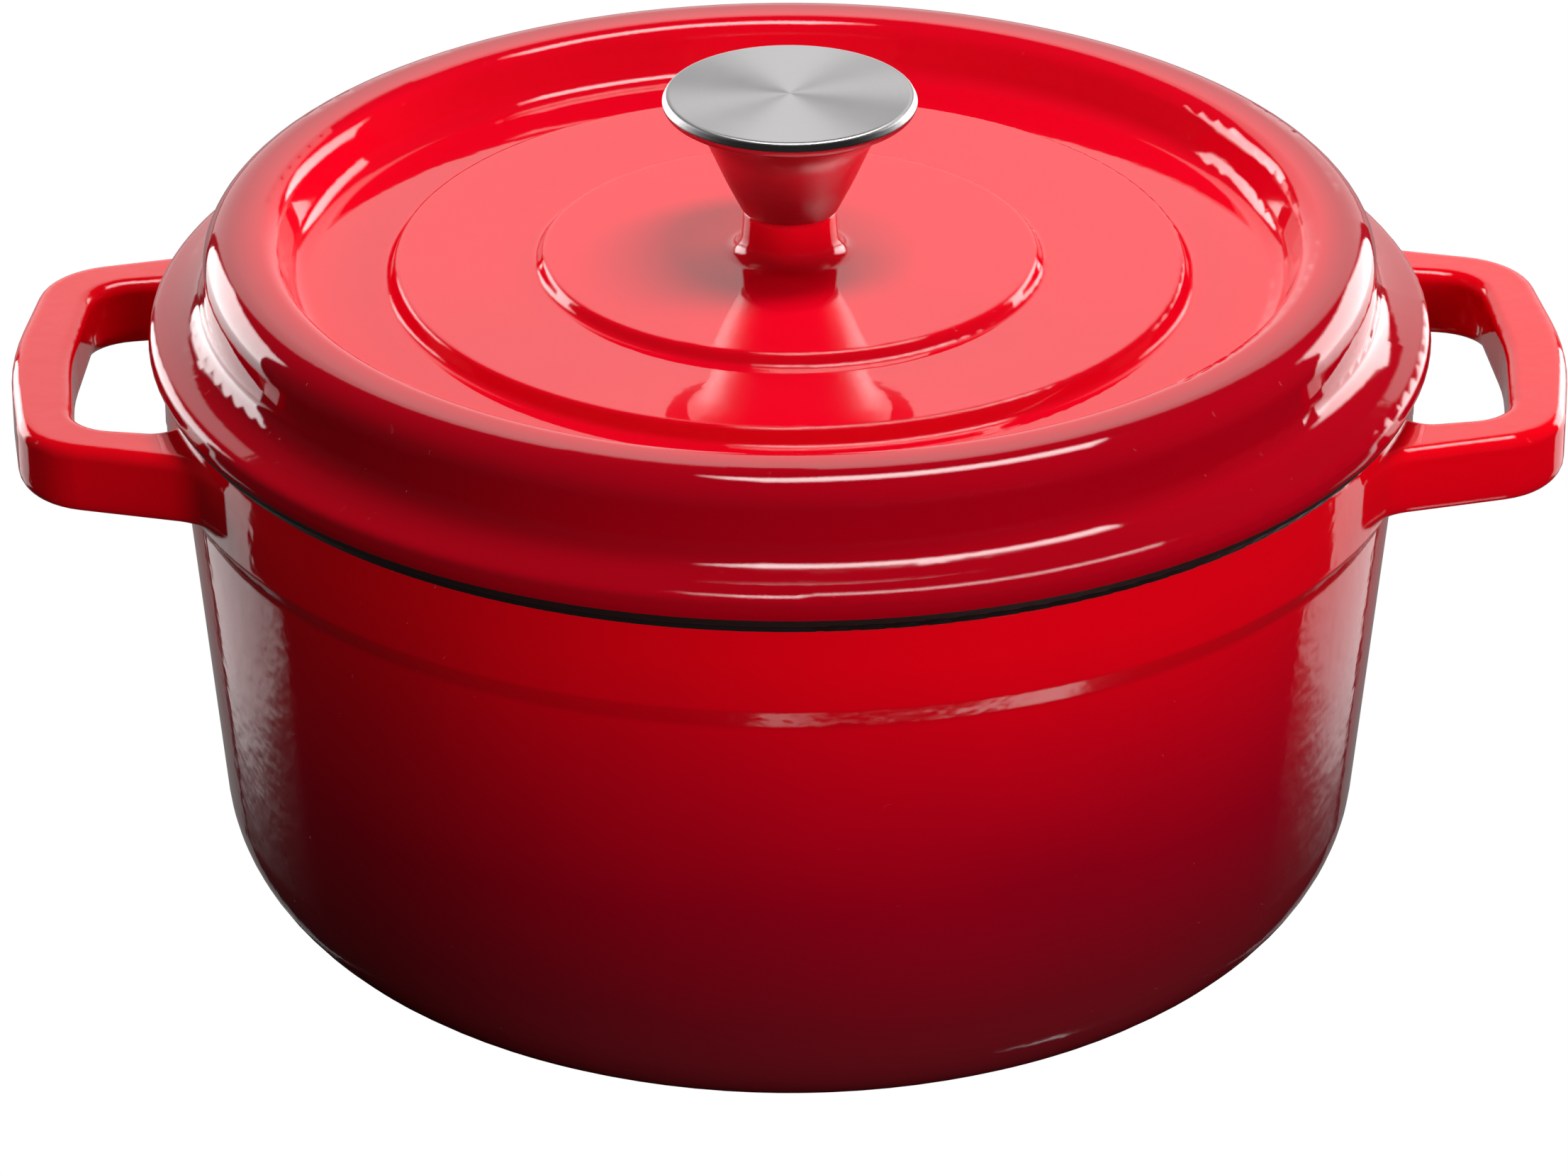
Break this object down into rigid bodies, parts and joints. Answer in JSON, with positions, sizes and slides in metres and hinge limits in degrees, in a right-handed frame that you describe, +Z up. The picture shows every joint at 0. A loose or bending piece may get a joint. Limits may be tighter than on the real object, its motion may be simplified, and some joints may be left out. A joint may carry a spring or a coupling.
{
  "type": "dutch oven",
  "caption": "Round enamelled cast iron dutch oven with tapered wall, two loop handles and a loose stepped lid that carries a flared steel knob.",
  "frame": {"origin": "centre of the base on the surface the pot stands on", "axes": "+Z up along the pot's axis and the way the lid lifts; +X and -X point at the two loop handles"},
  "size_m": [0.314, 0.2582, 0.1729],
  "materials": {
    "red_enamel": "gloss",
    "lid_enamel": "gloss",
    "satin_steel": "satin",
    "brushed_steel": "satin",
    "zinc_steel": "satin"
  },
  "bodies": {
    "pot": {"pot_body": "red_enamel"},
    "lid": {"lid": "lid_enamel", "knob_shell": "satin_steel", "knob_cap": "brushed_steel", "knob_insert": "zinc_steel", "knob_screw": "zinc_steel", "flat_washer": "zinc_steel", "lock_washer": "zinc_steel"}
  },
  "joints": [
    {"name": "lid_lift", "type": "slide", "parent": "pot", "child": "lid", "axis": [0, 0, 1], "range_m": [0, 0.2]}
  ]
}
